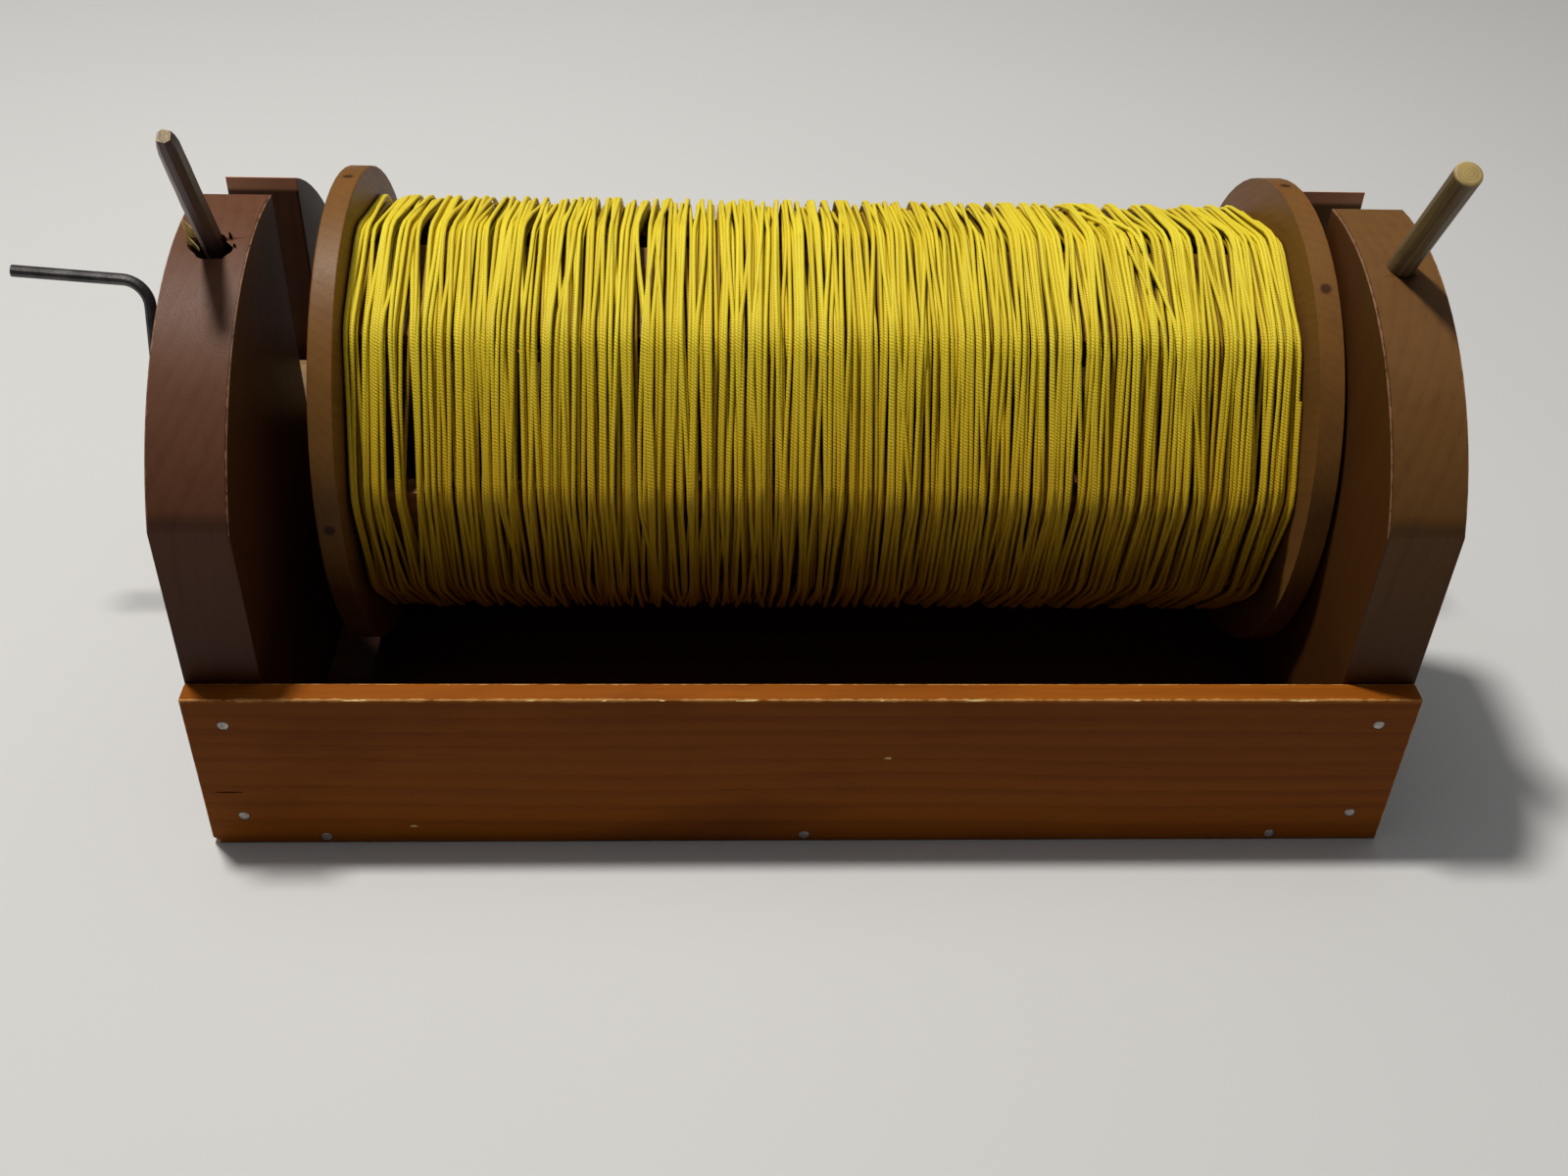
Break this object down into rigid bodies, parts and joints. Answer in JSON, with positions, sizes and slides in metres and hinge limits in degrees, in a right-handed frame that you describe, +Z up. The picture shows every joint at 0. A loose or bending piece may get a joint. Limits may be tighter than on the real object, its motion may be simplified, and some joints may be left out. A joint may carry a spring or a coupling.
{
  "type": "cord winder",
  "caption": "Hand-cranked wooden cord winder: a slatted reel of yellow cord on a pole, resting in open slots in the half-round cheeks of a nailed tray, held down by wooden pegs.",
  "frame": {"origin": "middle of the tray's underside, on the surface it stands on", "axes": "+X to the right along the reel's axis with the crank at -X, +Y to the back, +Z up"},
  "size_m": [0.5313, 0.249, 0.249],
  "materials": {
    "chestnut_stained_pine": "satin orange-brown stain with straight grain",
    "walnut_stained_pine": "satin dark red-brown stain",
    "varnished_tan_wood": "varnished tan wood with small knots",
    "worn_dowel": "olive-brown dowel, worn pale at the ends",
    "yellow_cord": "twisted waxed yellow cord, wound in layers",
    "dark_steel": "near-black bent steel rod",
    "nail_steel": "dull grey nail steel"
  },
  "bodies": {
    "tray": {"front_board": "chestnut_stained_pine", "back_board": "chestnut_stained_pine", "bottom_board": "walnut_stained_pine", "left_cheek": "walnut_stained_pine", "right_cheek": "walnut_stained_pine", "front_left_nail_low": "nail_steel", "front_left_nail_high": "nail_steel", "front_right_nail_low": "nail_steel", "front_right_nail_high": "nail_steel", "back_left_nail_low": "nail_steel", "back_left_nail_high": "nail_steel", "back_right_nail_low": "nail_steel", "back_right_nail_high": "nail_steel", "front_floor_nail_left": "nail_steel", "front_floor_nail_middle": "nail_steel", "front_floor_nail_right": "nail_steel", "back_floor_nail_left": "nail_steel", "back_floor_nail_middle": "nail_steel", "back_floor_nail_right": "nail_steel"},
    "reel": {"axle_pole": "worn_dowel", "left_flange": "varnished_tan_wood", "right_flange": "varnished_tan_wood", "slat_1": "varnished_tan_wood", "slat_2": "varnished_tan_wood", "slat_3": "varnished_tan_wood", "slat_4": "varnished_tan_wood", "slat_5": "varnished_tan_wood", "cord_winding": "yellow_cord", "crank_rod": "dark_steel", "slat_1_nail_left": "nail_steel", "slat_1_nail_right": "nail_steel", "slat_2_nail_left": "nail_steel", "slat_2_nail_right": "nail_steel", "slat_3_nail_left": "nail_steel", "slat_3_nail_right": "nail_steel", "slat_4_nail_left": "nail_steel", "slat_4_nail_right": "nail_steel", "slat_5_nail_left": "nail_steel", "slat_5_nail_right": "nail_steel"},
    "left_keeper": {"left_peg": "worn_dowel"},
    "right_keeper": {"right_peg": "worn_dowel"}
  },
  "joints": [
    {"name": "reel_spin", "type": "hinge", "parent": "tray", "child": "reel", "pos_m": [0, 0.01889, 0.1011], "axis": [1, 0, 0], "continuous": true},
    {"name": "left_peg_slide", "type": "slide", "parent": "tray", "child": "left_keeper", "axis": [0, -0.4772, 0.8788], "range_m": [0, 0.06]},
    {"name": "right_peg_slide", "type": "slide", "parent": "tray", "child": "right_keeper", "axis": [0, -0.5225, 0.8526], "range_m": [0, 0.06]}
  ]
}
